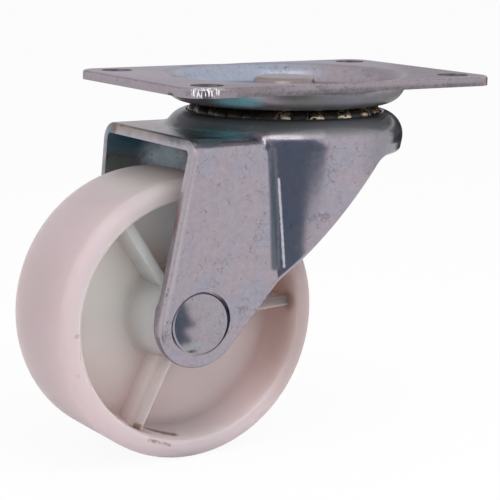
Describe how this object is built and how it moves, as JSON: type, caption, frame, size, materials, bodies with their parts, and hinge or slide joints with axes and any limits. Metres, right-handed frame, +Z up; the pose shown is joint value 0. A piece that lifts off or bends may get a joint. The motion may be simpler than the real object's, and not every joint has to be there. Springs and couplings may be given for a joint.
{
  "type": "swivel castor",
  "caption": "Swivel castor with a pressed top plate for bolts, a drawn steel fork turning on ball races round a riveted king pin, and a white moulded wheel on a riveted axle.",
  "frame": {"origin": "centre of the top plate's upper face, on the swivel axis", "axes": "+Z up out of the plate's upper face, +X along the plate's long side, away from the trailing wheel, +Y along the wheel's axle"},
  "size_m": [0.1215, 0.067, 0.1],
  "materials": {
    "zinc_plate": "bright zinc plating, lilac grey with a faint blue sheen, fine scratches",
    "zinc_fork": "bright zinc plating with blue and olive tints, dull drawn surface",
    "king_pin_steel": "zinc plated steel, greasy at its foot",
    "zinc_cup": "zinc plated steel with grease",
    "rivet_steel": "zinc plated steel, satin",
    "ball_steel": "polished steel under dark grease",
    "white_nylon": "natural white nylon, slightly translucent, scuffed"
  },
  "bodies": {
    "plate": {"top_plate": "zinc_plate", "king_pin": "king_pin_steel", "spacer": "zinc_cup", "lower_cup": "zinc_cup"},
    "fork": {"fork": "zinc_fork", "axle_rivet": "rivet_steel", "axle_sleeve": "rivet_steel"},
    "wheel": {"wheel": "white_nylon"},
    "upper_balls": {"upper_ball_01": "ball_steel", "upper_ball_02": "ball_steel", "upper_ball_03": "ball_steel", "upper_ball_04": "ball_steel", "upper_ball_05": "ball_steel", "upper_ball_06": "ball_steel", "upper_ball_07": "ball_steel", "upper_ball_08": "ball_steel", "upper_ball_09": "ball_steel", "upper_ball_10": "ball_steel", "upper_ball_11": "ball_steel", "upper_ball_12": "ball_steel", "upper_ball_13": "ball_steel", "upper_ball_14": "ball_steel", "upper_ball_15": "ball_steel", "upper_ball_16": "ball_steel", "upper_ball_17": "ball_steel", "upper_ball_18": "ball_steel"},
    "lower_balls": {"lower_ball_01": "ball_steel", "lower_ball_02": "ball_steel", "lower_ball_03": "ball_steel", "lower_ball_04": "ball_steel", "lower_ball_05": "ball_steel", "lower_ball_06": "ball_steel", "lower_ball_07": "ball_steel", "lower_ball_08": "ball_steel", "lower_ball_09": "ball_steel", "lower_ball_10": "ball_steel", "lower_ball_11": "ball_steel", "lower_ball_12": "ball_steel", "lower_ball_13": "ball_steel", "lower_ball_14": "ball_steel", "lower_ball_15": "ball_steel", "lower_ball_16": "ball_steel", "lower_ball_17": "ball_steel", "lower_ball_18": "ball_steel"}
  },
  "joints": [
    {"name": "swivel", "type": "hinge", "parent": "plate", "child": "fork", "pos_m": [0, 0, 0], "axis": [0, 0, 1], "continuous": true},
    {"name": "wheel_spin", "type": "hinge", "parent": "fork", "child": "wheel", "pos_m": [-0.037, 0, -0.0625], "axis": [0, 1, 0], "continuous": true},
    {"name": "upper_row", "type": "hinge", "parent": "plate", "child": "upper_balls", "pos_m": [0, 0, 0], "axis": [0, 0, 1], "continuous": true},
    {"name": "lower_row", "type": "hinge", "parent": "plate", "child": "lower_balls", "pos_m": [0, 0, 0], "axis": [0, 0, 1], "continuous": true}
  ],
  "couplings": [
    {"joint": "upper_row", "follows": "swivel", "ratio": 0.5},
    {"joint": "lower_row", "follows": "swivel", "ratio": 0.5}
  ]
}
